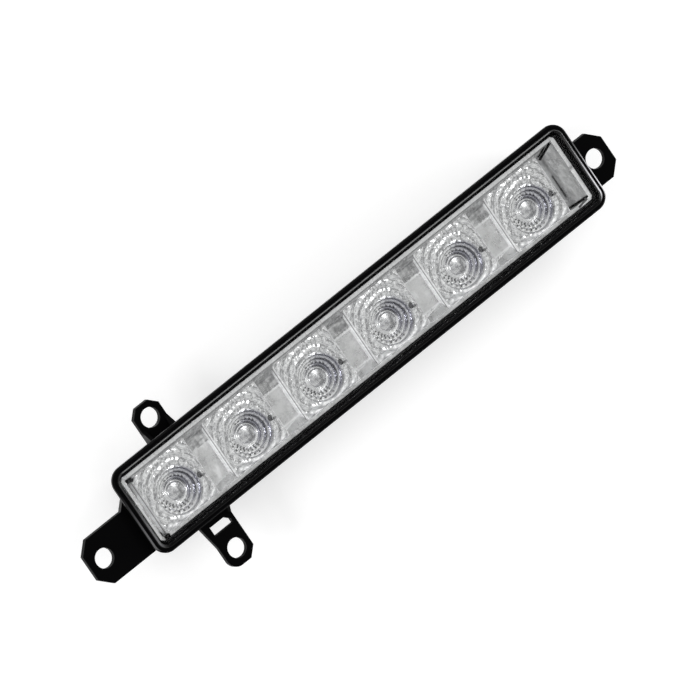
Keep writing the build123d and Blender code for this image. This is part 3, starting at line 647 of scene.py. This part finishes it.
def optic_finish(shape, tones):
    """Clear optic over bright metal, with painted shade, dark reflections and grey arcs on its crater and
    rings, and a painted glow on its sides.
    """
    material, net = finish("clear_optic_over_metal")
    x, y, z = net.axes(net.place())
    place_x, place_y, _ = net.axes(net.add("ShaderNodeNewGeometry", out="Position"))
    half_x = OPTIC_HALF_X - shape.lip
    radius = distance(x, y)
    angle = y.math("ARCTAN2", y, x)
    right = (angle - RIGHT).cosine()
    above = (angle - ABOVE).cosine()
    below = (angle - BELOW).cosine()
    flutes = (angle * float(shape.flutes)).cosine()
    fine = net.noise(0.4 * MM, detail=4.0)

    # Painted shade on the walls of the crater's steps, darker on the right side
    rings = 0.0
    for step in range(shape.steps):
        wall = shape.step_radius - step * shape.step_pitch
        rings = rings + net.ridge(radius, wall, shape.step_pitch * 0.3, 1.1)
    shade = net.ease(right, 0.05, 0.75) * net.ease(radius, *SHADE_START) * net.ease(radius, *SHADE_END)
    rows = 0.0
    for row in DOT_RADII:
        rows = rows + net.ridge(radius, row, MARK_WIDTH, 1.4)
    dots = net.ease(flutes, 0.1, 0.7) * net.ease(below, 0.1, 0.6)
    dots = dots * rows * net.ease(net.noise(2.5 * MM), 0.36, 0.52)
    cuts = net.ease(above, 0.55, 0.8) * net.ridge(radius, CUT_RADIUS, MARK_WIDTH, 1.3)
    cuts = cuts * net.ease(flutes, -0.6, 0.2)
    arc = net.ease(above, 0.1, 0.6) * net.ridge(radius, ARC_RADIUS, MARK_WIDTH, 1.3)
    side_arc = net.ease(right, 0.3, 0.75) * net.ridge(radius, SIDE_RADIUS, shape.step_wall, 1.3)

    swirl = net.add("ShaderNodeCombineXYZ", None, {
        0: x / radius * SWIRL_BREAKS,
        1: y / radius * SWIRL_BREAKS,
        2: radius / SWIRL_WIDTH + place_x / SWIRL_SHIFT,
    })
    swirl = net.add("ShaderNodeTexNoise", None, {"Vector": swirl, "Scale": 1.0, "Detail": 2.0})
    outside = net.ease(radius, shape.step_radius - 0.2 * MM, shape.step_radius + 0.4 * MM)
    grey = net.ease(swirl, 0.62, 0.36) * outside
    corner = net.ease(distance(place_x - CORNER_SHADE[0], place_y - CORNER_SHADE[1]), 0.95 * MM, 0.7 * MM)
    side = net.ease(abs(x), half_x - 0.12 * MM, half_x - 0.04 * MM)
    side_line = side * net.line(z, OPTIC_HIGH.z - SIDE_LINE_DROP, 0.6 * MM, 0.25 * MM)
    notch_x = (x - half_x + shape.notch_inset) / (shape.notch_depth / 2)
    notch = net.ease(distance(notch_x, y / (shape.notch_width / 2)), 1.15, 0.85)
    tail_x = (x - half_x + shape.notch_inset * 0.5) / TAIL_HALF[0]
    tail = net.ease(distance(tail_x, (y + TAIL_DROP) / TAIL_HALF[1]), 1.2, 0.7)
    dome = net.ease(radius, shape.button_radius, shape.button_radius - 0.3 * MM)
    murk = net.ease(net.noise(1.3 * MM, detail=2.0), 0.42, 0.6)
    lower_edge = net.ease(y, -6.0 * MM, -7.2 * MM)

    # Dark marks: painted shade and dark reflections in the crater, the corner's painted shade, the dark line
    # on the sides, and the dark notch and its tail
    dark = dots * 0.9 + arc * 0.75 + side_arc * 0.7 + cuts * 0.8
    dark = net.clamp(dark + notch * 0.85 + tail * 0.5 + side_line * 0.75 + corner)
    # Painted grey: darker arcs among the reflections outside the crater, and a greyer button that dims its
    # highlight
    tone = net.blend(grey * 0.5 + dome * (0.4 + murk * 0.6), tones.optic, tones.optic_grey)
    tone = net.blend(net.clamp(rings) * net.clamp(0.52 + right * 0.3), tone, tones.optic_ring_shade)
    tone = net.blend(net.clamp(shade * 0.6 + arc * 0.5), tone, tones.optic_shade)
    net.show(net.surface(
        Base_Color=net.blend(dark, tone, tones.optic_dark),
        Metallic=0.9 - side * 0.7,
        Roughness=0.14 + fine * 0.12 + dome * 0.06 + lower_edge * 0.25,
        # Painted glow on the optic's sides, split by the dark line
        Emission_Color=net.blend(side * (1.0 - dark), (0.0, 0.0, 0.0), tones.optic),
        Emission_Strength=shape.painted_side_glow,
    ))
    return material


class LAMP_OT_optics(bpy.types.Operator):
    """Builds the six dimpled optics in the places of their solids"""

    bl_idname = "lamp.optics"
    bl_label = "Optics"

    def execute(self, context):
        shape = context.scene.lamp_optic
        mesh = optic_mesh(shape)
        mesh.materials.append(optic_finish(shape, context.scene.lamp_colours))
        for number in range(1, CELLS + 1):
            low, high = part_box(f"optic_{number}")
            piece = bpy.data.objects.new(f"dimpled_optic_{number}", mesh)
            piece.location = ((low.x + high.x) / 2, (low.y + high.y) / 2 - shape.axis_drop, 0.0)
            context.scene.collection.objects.link(piece)
            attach(piece, "root")
            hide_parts(f"optic_{number}")
        return {"FINISHED"}


class LAMP_OT_housing(bpy.types.Operator):
    """Finishes the housing: satin black plastic, glossier on the rim"""

    bl_idname = "lamp.housing"
    bl_label = "Housing"

    def execute(self, context):
        tones = context.scene.lamp_colours
        material, net = finish("moulded_black")
        x, y, z = net.axes(net.place())
        flat = net.flat()
        across, along, up = net.axes(flat)
        patch = net.noise(14 * MM, detail=4.0)
        grain = net.noise(0.5 * MM, detail=4.0, rough=0.6)
        edges = net.round_edges(0.25 * MM)
        tone = net.blend(patch, tones.plastic, tones.plastic_worn)
        satin = net.surface(
            Base_Color=tone,
            Roughness=0.5 + patch * 0.12,
            Specular_IOR_Level=0.03,
            Normal=net.bump(grain, 0.02 * MM, edges),
        )
        land = net.surface(
            Base_Color=tone,
            Roughness=0.2 + grain * 0.1,
            Specular_IOR_Level=0.03,
            Normal=net.bump(patch, 0.05 * MM, edges),
        )
        bead = net.surface(
            Base_Color=tone,
            Roughness=0.1 + grain * 0.06,
            Specular_IOR_Level=0.5,
            Normal=net.round_edges(0.4 * MM),
        )
        side = net.surface(
            Base_Color=net.blend(patch, tones.side, tones.side_worn),
            Roughness=0.36 + patch * 0.14,
            Specular_IOR_Level=0.22,
            Normal=net.bump(grain, 0.03 * MM, edges),
        )
        # Painted highlight on the edges of the sides: a paler black with more sheen
        painted_edge_sheen = net.surface(
            Base_Color=tones.edge,
            Roughness=0.3 + grain * 0.2,
            Specular_IOR_Level=0.5,
            Normal=edges,
        )
        # Pale shader for the painted highlight lines on the rim's ends
        rim_highlight = net.surface(Base_Color=tones.rim_highlight, Roughness=0.2 + grain * 0.1, Normal=edges)

        on_rim = net.ease(z, RIM_REAR, RIM_REAR + 0.6 * MM)
        on_bead = net.ease(z, RIM_LAND + 0.02 * MM, RIM_LAND + 0.1 * MM) * net.ease(up, 0.98, 0.9)
        upper_bead = net.ease(y, 0.0, 2.0 * MM) * net.ease(along, 0.2, 0.5)
        end_beads = net.ease(abs(x), *BEAD_END) * net.ease(abs(across), 0.2, 0.5)
        on_bead = on_bead * net.clamp(upper_bead + end_beads)
        on_lug = net.ease(abs(x), LUG_START_X, LUG_START_X + 1.0 * MM)
        on_lug = net.clamp(on_lug + net.ease(abs(y), LUG_START_Y, LUG_START_Y + 1.0 * MM))
        # Sides and back: grained, with more sheen, and a paler black than the faces toward the front, which
        # are painted darker as shade
        on_side = net.ease(up, 0.6, 0.3) * (1.0 - on_lug * 0.75)
        # Edges of the sides, in patches, which get the painted highlight
        dot = {"operation": "DOT_PRODUCT"}
        turn = net.add("ShaderNodeVectorMath", dot, {0: edges, 1: flat}, out="Value")
        on_edge = net.ease(turn, 0.98, 0.85) * net.ease(net.noise(6 * MM, detail=4.0), 0.3, 0.6)

        # Painted highlight: pale lines along the rim's edges at its ends, faint at the left end
        past_x = net.clamp(abs(x) - RIM_HALF_X + RIM_CORNER)
        past_y = net.clamp(abs(y) - RIM_HALF_Y + RIM_CORNER)
        inset = RIM_CORNER - distance(past_x, past_y)
        rim_highlight_mask = 0.0
        for middle, reach, core in HIGHLIGHT_LINES:
            rim_highlight_mask = rim_highlight_mask + net.line(inset, middle, reach, core)
        left_end = net.ease(x, -HIGHLIGHT_END[0], -HIGHLIGHT_END[1]) * LEFT_HIGHLIGHT
        rim_highlight_mask = rim_highlight_mask * on_rim * net.ease(up, 0.2, 0.5) * (net.ease(x, *HIGHLIGHT_END) + left_end)
        rim_highlight_mask = rim_highlight_mask * net.ease(y, *HIGHLIGHT_RISE) ** 2.0 * net.ease(y, *HIGHLIGHT_FOOT)

        shell = net.mix(on_side, net.mix(on_rim, satin, land), side)
        shell = net.mix(on_edge * on_side, shell, painted_edge_sheen)
        shell = net.mix(on_bead, shell, bead)
        net.show(net.mix(net.clamp(rim_highlight_mask), shell, rim_highlight))
        dress(material, "housing")
        return {"FINISHED"}


class LAMP_OT_cover(bpy.types.Operator):
    """Finishes the clear cover and the sealant under its edge"""

    bl_idname = "lamp.cover"
    bl_label = "Cover"

    def execute(self, context):
        tones = context.scene.lamp_colours
        material, net = finish("polished_clear")
        fine = net.noise(30 * MM, detail=2.0)
        gloss = net.surface(Base_Color=(1.0, 1.0, 1.0), Metallic=1.0, Roughness=0.02 + fine * 0.03)
        clear = net.add("ShaderNodeBsdfTransparent", None, {"Color": (*tones.cover, 1.0)})
        glint = net.add("ShaderNodeFresnel", None, {"IOR": COVER_IOR})
        net.show(net.mix(glint * COVER_GLINT, clear, gloss))
        dress(material, "outer_lens")
        dress(speckled("cured_sealant", tones.seal, 0.6 * MM, 0.6, depth=0.03 * MM, shine=0.05), "lens_seal")
        return {"FINISHED"}


class LAMP_OT_tray(bpy.types.Operator):
    """Finishes the metallised tray"""

    bl_idname = "lamp.tray"
    bl_label = "Tray"

    def execute(self, context):
        tones = context.scene.lamp_colours
        material, net = finish("bright_metallised")
        x, y, z = net.axes(net.place())
        up = net.axes(net.flat())[2]
        patch = net.noise(5 * MM, detail=4.0)
        peel = net.noise(0.7 * MM, detail=3.0)
        mottle = net.noise(1.8 * MM, detail=2.0, stretch=(1.0, 0.6, 1.0))
        streak = net.noise(1.6 * MM, detail=3.0, stretch=(0.5, 1.0, 1.0))

        upper = net.ease(y, 0.0, 1.0 * MM)
        land = net.ease(z, TRAY_TOP - 0.2 * MM, TRAY_TOP - 0.05 * MM)
        raised = net.ease(z, TRAY_FLOOR + 0.1 * MM, TRAY_FLOOR + 0.3 * MM)
        ramp = net.ease(x, RAMP_FOOT, RAMP_FOOT + 1.0 * MM)
        header = net.ease(y, PANEL_TOP, PANEL_TOP + 0.3 * MM) * (1.0 - ramp)
        first_panel = net.ease(x, *FIRST_PANEL)
        step = x.math("FLOORED_MODULO", x - OPTIC_LOW.x - OPTIC_LIP, CELL_PITCH)
        ridges = (x * (2 * math.pi / RIDGE_PITCH)).sine() * header

        # Painted shade: the corner openings and the slits at the ramp painted dark
        sunk = net.clamp(net.ease(up, 0.2, 0.4) + upper) * (1.0 - land)
        gap_shade = 0.0
        for spot_x, spot_y in TRAY_CORNERS:
            gap_shade = gap_shade + net.ease(distance(x - spot_x, y - spot_y), *CORNER_EDGE)
        for foot_x, foot_y, run_x, run_y, start, end, half in RAMP_SLITS:
            span = math.hypot(run_x, run_y)
            past_x = x - foot_x
            past_y = y - foot_y
            along = (past_x * run_x + past_y * run_y) / span**2
            across = abs(past_y * run_x - past_x * run_y) / span
            within = net.ease(along, start - SLIT_FADE, start) * net.ease(along, end + SLIT_FADE, end)
            gap_shade = gap_shade + net.ease(across, half, half * 0.7) * within * sunk
        # Painted shade in a thin band along the ramp's foot
        foot_shade = net.line(x, RAMP_FOOT + 1.0 * MM, 0.32 * MM, 0.12 * MM)
        foot_shade = foot_shade * net.ease(y, *FOOT_SHADE_LOW) * net.ease(y, *FOOT_SHADE_HIGH)

        # Painted glare in patches on the panels, stronger on the first
        flash = net.noise(3 * MM, detail=3.0, stretch=(1.0, 0.45, 1.0)) + first_panel * 0.09
        glare = net.ease(flash, 0.6, 0.74) * (1.0 - raised)
        blotch = net.ease(mottle, 0.4, 0.62)
        # Painted shade on the panels' headers, darker towards the next optic, with ridges and streaks
        header_shade = net.ease(step, CELL_PITCH - 6.5 * MM, CELL_PITCH - 2.5 * MM) * 0.35 + ridges * 0.12
        header_shade = net.clamp(header_shade + 0.34 + (net.ease(streak, 0.38, 0.62) - 0.5) * 0.8)
        # Painted highlight lines along the top and foot of each panel
        outline_highlight = net.line(y, PANEL_TOP - 0.3 * MM, 0.45 * MM, 0.15 * MM)
        outline_highlight = outline_highlight + net.line(y, PANEL_FOOT, 0.4 * MM, 0.15 * MM)
        outline_highlight = outline_highlight * (1.0 - raised) * (1.0 - ramp) * (1.0 - first_panel)
        # Painted shade in a band just under the tray's land
        lip = net.ease(z, TRAY_TOP - 1.2 * MM, TRAY_TOP - 0.9 * MM) * (1.0 - land)
        lip = lip * net.ease(x, *PLAIN_END)
        # Painted highlight on the floor along the left side of each optic
        edge = net.ease(step, CELL_PITCH - 0.65 * MM, CELL_PITCH - 0.45 * MM)
        edge = edge * (1.0 - raised) * (1.0 - header)
        ramp_land = net.ease(x, RAMP_HEAD - 0.3 * MM, RAMP_HEAD)
        # Painted highlight lines on the tray's land
        land_highlight = net.ease(x, RAMP_HEAD + 0.9 * MM, RAMP_HEAD + 1.2 * MM) + upper * 0.8
        land_highlight = land_highlight + ramp * net.ease(y, 0.0, -1.0 * MM)
        land_highlight = land_highlight + net.ease(x, -RAMP_HEAD - 0.3 * MM, -RAMP_HEAD - 0.6 * MM)

        tone = net.blend(net.ease(patch * 0.7 + peel * 0.3, 0.36, 0.64), tones.tray_dull, tones.tray)
        for part, coat in (
            # Painted glare
            (glare * 0.8, tones.optic),
            # Painted shade on the ramp, mottled
            (ramp * (0.6 + blotch * 0.35), tones.tray_shade_and_streaks),
            # Painted shade on the headers
            (header * header_shade, tones.tray_shade_and_streaks),
            # Painted highlight lines round each panel
            (outline_highlight * 0.8, tones.optic),
            # Painted shade under the land
            (lip * 0.95, tones.tray_shade_and_streaks),
            # Painted highlight by each optic
            (edge * 0.9, tones.optic),
            (land * net.ease(streak, 0.4, 0.65) * 0.5, tones.tray_shade_and_streaks),
            (land * ramp_land * 0.6, tones.tray_shade_and_streaks),
            # Painted highlight lines on the land
            (land * net.clamp(land_highlight), tones.optic),
            # Painted shade in the slits, the corner openings and along the ramp's foot
            (net.clamp(gap_shade + foot_shade * 0.8), tones.seal),
        ):
            tone = net.blend(part, tone, coat)
        plain = net.clamp(edge + glare + outline_highlight)
        relief = peel * 0.012 + mottle * ramp * 0.25 + ridges * 0.05
        net.show(net.surface(
            Base_Color=tone,
            Metallic=net.clamp(0.8 - raised * 0.3 - plain * 0.5 + gap_shade * 0.6),
            Roughness=0.2 + patch * 0.16,
            Normal=net.bump(relief, 1.0 * MM, net.round_edges(0.2 * MM)),
        ))
        dress(material, "reflector")
        return {"FINISHED"}


class LAMP_OT_light_sources(bpy.types.Operator):
    """Finishes the LEDs, their board and the driver's parts"""

    bl_idname = "lamp.light_sources"
    bl_label = "Light sources"

    def execute(self, context):
        tones = context.scene.lamp_colours
        material, net = finish("led_ceramic_and_phosphor")
        z = net.axes(net.place())[2]
        grain = net.noise(0.15 * MM)
        lit = net.ease(z, LED_BASE_TOP + 0.05 * MM, LED_BASE_TOP + 0.15 * MM)
        ceramic = net.blend(grain, [part * 0.9 for part in tones.ceramic], tones.ceramic)
        phosphor = net.blend(grain, [part * 0.85 for part in tones.phosphor], tones.phosphor)
        net.show(net.surface(
            Base_Color=net.blend(lit, ceramic, phosphor),
            Roughness=0.35 + grain * 0.2,
            Normal=net.round_edges(0.1 * MM),
        ))
        dress(material, *(f"led_{number}" for number in range(1, CELLS + 1)))

        material, net = finish("white_masked_board")
        z = net.axes(net.place())[2]
        grain = net.noise(0.3 * MM)
        masked = net.ease(z, BOARD_TOP - 0.25 * MM, BOARD_TOP - 0.1 * MM)
        mask = net.blend(grain, [part * 0.93 for part in tones.board], tones.board)
        net.show(net.surface(
            Base_Color=net.blend(masked, tones.sink, mask),
            Metallic=1.0 - masked,
            Roughness=0.3 + grain * 0.15,
            Normal=net.bump(grain, 0.01 * MM, net.round_edges(0.15 * MM)),
        ))
        dress(material, "led_board")
        epoxy = speckled("moulded_epoxy", tones.epoxy, 0.2 * MM, 0.55, depth=0.01 * MM)
        dress(epoxy, "driver_chip", "diode")
        dress(speckled("pressed_ferrite", tones.ferrite, 0.3 * MM, 0.6, depth=0.02 * MM), "inductor")
        dress(speckled("fired_ceramic", tones.fired, 0.2 * MM, 0.4), "capacitors")
        return {"FINISHED"}


class LAMP_OT_cooling(bpy.types.Operator):
    """Finishes the heat sink, its pad and the screws"""

    bl_idname = "lamp.cooling"
    bl_label = "Cooling"

    def execute(self, context):
        tones = context.scene.lamp_colours
        drawn = (0.03, 1.0, 1.0)
        bare = speckled(
            "drawn_aluminium", tones.sink, 0.2 * MM, 0.36, metal=1.0, depth=0.008 * MM, stretch=drawn
        )
        dress(bare, "heat_sink")
        dress(speckled("filled_silicone", tones.pad, 0.4 * MM, 0.7, depth=0.02 * MM), "thermal_pad")
        zinc = speckled("zinc_plated", tones.zinc, 0.25 * MM, 0.32, metal=1.0, depth=0.006 * MM)
        dress(zinc, "reflector_screws", "housing_screws")
        return {"FINISHED"}


class LAMP_OT_connector(bpy.types.Operator):
    """Finishes the socket, its blades and the breather cap"""

    bl_idname = "lamp.connector"
    bl_label = "Connector and breather"

    def execute(self, context):
        tones = context.scene.lamp_colours
        nylon = speckled("moulded_nylon", tones.nylon, 0.5 * MM, 0.45, depth=0.015 * MM, shine=0.35)
        dress(nylon, "connector_socket")
        dress(speckled("tin_plated", tones.tin, 0.2 * MM, 0.28, metal=1.0), "connector_terminals")
        dress(speckled("breather_plastic", tones.breather, 0.4 * MM, 0.5, depth=0.015 * MM), "vent_cap")
        return {"FINISHED"}


def picture_direction(right, up, out):
    """Direction in the lamp's frame, given along the picture's axes."""
    return (PICTURE.transposed() @ Vector((right, up, out))).normalized()


def softbox(name, direction, away, size, level):
    """Rectangular area lamp aimed at the rim, with its power set by the level that it gives on white."""
    light = bpy.data.lights.new(name, "AREA")
    light.shape = "RECTANGLE"
    light.size, light.size_y = size
    light.energy = level * math.pi**2 * away**2
    lamp = bpy.data.objects.new(name, light)
    lamp.location = Vector((0.0, 0.0, RIM_FRONT)) + direction * away
    lamp.rotation_euler = direction.to_track_quat("Z", "Y").to_euler()
    bpy.context.scene.collection.objects.link(lamp)


class LAMP_OT_stage(bpy.types.Operator):
    """Sets the floor, the light and the camera"""

    bl_idname = "lamp.stage"
    bl_label = "Stage"

    def execute(self, context):
        scene = context.scene
        stage = scene.lamp_stage
        scene.view_settings.view_transform = "Standard"

        material, net = finish("pale_floor")
        cloud = net.noise(0.5, detail=2.0)
        tone = net.blend(cloud, [part * 0.98 for part in stage.floor], stage.floor)
        matt = {"Base_Color": tone, "Roughness": 0.9, "Specular_IOR_Level": 0.0}
        plain = net.surface(**matt)
        shown = net.surface(**matt, Emission_Color=(1.0, 1.0, 1.0), Emission_Strength=stage.floor_glow)
        seen = net.add("ShaderNodeLightPath", out="Is Camera Ray")
        rays = net.clamp(seen + seen.other("Is Glossy Ray") + seen.other("Is Transmission Ray"))
        net.show(net.mix(rays, plain, shown))
        mesh = bpy.data.meshes.new("floor")
        level = CAD_BOX[0].z - FLOOR_GAP
        corners = [(side_x * FLOOR_HALF, side_y * FLOOR_HALF, level) for side_x, side_y in SQUARE]
        mesh.from_pydata(corners, [], [(0, 1, 2, 3)])
        mesh.materials.append(material)
        floor = bpy.data.objects.new("floor", mesh)
        scene.collection.objects.link(floor)

        world = bpy.data.worlds.new("studio")
        world.use_nodes = True
        scene.world = world
        sky = Net(world.node_tree)
        ray = sky.add("ShaderNodeTexCoord", out="Generated")
        x, y, z = sky.axes(ray)
        side = picture_direction(-0.75, 0.6, 0.3)
        facing = x * side.x + y * side.y + z * side.z
        tone = sky.blend(sky.ease(facing, -0.35, 0.65), [stage.dark_side] * 3, [stage.bright_side] * 3)
        sockets = {"Vector": ray, "Scale": 1 / stage.patch_size, "Detail": 1.0}
        patch = sky.add("ShaderNodeTexNoise", None, sockets)
        lit = sky.ease(patch, 0.4, 0.6) * (0.4 + sky.ease(z, 0.1, 0.5) * 0.6)
        low, high = 1.0 - stage.patches, 1.0 + stage.patches
        tone = sky.add("ShaderNodeMix", {"data_type": "RGBA", "blend_type": "MULTIPLY"}, {
            0: 1.0,
            6: tone,
            7: sky.blend(lit, [low] * 3, [high] * 3),
        }, out=2)
        light = sky.add("ShaderNodeBackground", None, {"Color": tone, "Strength": 1.0})
        sky.show(light, "ShaderNodeOutputWorld")

        softbox("lamp_left", picture_direction(-0.46, -0.26, 0.85), 1.0, (0.3, 0.2), stage.key)
        for name, direction, size, part in STRIPS:
            softbox(name, Vector(direction).normalized(), STRIP_DISTANCE, size, stage.strip * part)
        softbox("softbox_upper_right", picture_direction(0.42, 0.5, 0.76), 1.0, (0.3, 0.3), stage.fill)

        camera_data = bpy.data.cameras.new("camera")
        camera_data.sensor_width = SENSOR_WIDTH
        camera_data.lens = SENSOR_WIDTH * stage.view_distance / stage.view_width
        camera = bpy.data.objects.new("camera", camera_data)
        shift = Vector((*PICTURE_MIDDLE, stage.view_distance))
        place = PICTURE.transposed().to_4x4()
        place.translation = Vector((0.0, 0.0, RIM_LAND)) + PICTURE.transposed() @ shift
        camera.matrix_world = place
        scene.collection.objects.link(camera)
        scene.camera = camera
        return {"FINISHED"}


PIECES = (
    LAMP_OT_optics,
    LAMP_OT_housing,
    LAMP_OT_cover,
    LAMP_OT_tray,
    LAMP_OT_light_sources,
    LAMP_OT_cooling,
    LAMP_OT_connector,
    LAMP_OT_stage,
)


class LAMP_PT_pieces(bpy.types.Panel):
    """Lists the lamp's pieces and its stage"""

    bl_idname = "LAMP_PT_pieces"
    bl_label = "Daytime running light"
    bl_space_type = "VIEW_3D"
    bl_region_type = "UI"
    bl_category = "Lamp"

    def draw(self, context):
        for piece in PIECES:
            self.layout.operator(piece.bl_idname)
        for group in (context.scene.lamp_optic, context.scene.lamp_colours, context.scene.lamp_stage):
            column = self.layout.column()
            for name in group.__annotations__:
                column.prop(group, name)


GROUPS = {"lamp_optic": LampOpticShape, "lamp_colours": LampColours, "lamp_stage": LampStage}


def register():
    for group in GROUPS.values():
        bpy.utils.register_class(group)
    for piece in PIECES:
        bpy.utils.register_class(piece)
    bpy.utils.register_class(LAMP_PT_pieces)
    for name, group in GROUPS.items():
        setattr(bpy.types.Scene, name, PointerProperty(type=group))


def unregister():
    for name in GROUPS:
        delattr(bpy.types.Scene, name)
    bpy.utils.unregister_class(LAMP_PT_pieces)
    for piece in reversed(PIECES):
        bpy.utils.unregister_class(piece)
    for group in reversed(list(GROUPS.values())):
        bpy.utils.unregister_class(group)


def main():
    """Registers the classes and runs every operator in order."""
    register()
    bpy.ops.lamp.optics()
    bpy.ops.lamp.housing()
    bpy.ops.lamp.cover()
    bpy.ops.lamp.tray()
    bpy.ops.lamp.light_sources()
    bpy.ops.lamp.cooling()
    bpy.ops.lamp.connector()
    bpy.ops.lamp.stage()


if __name__ == "__main__":
    main()
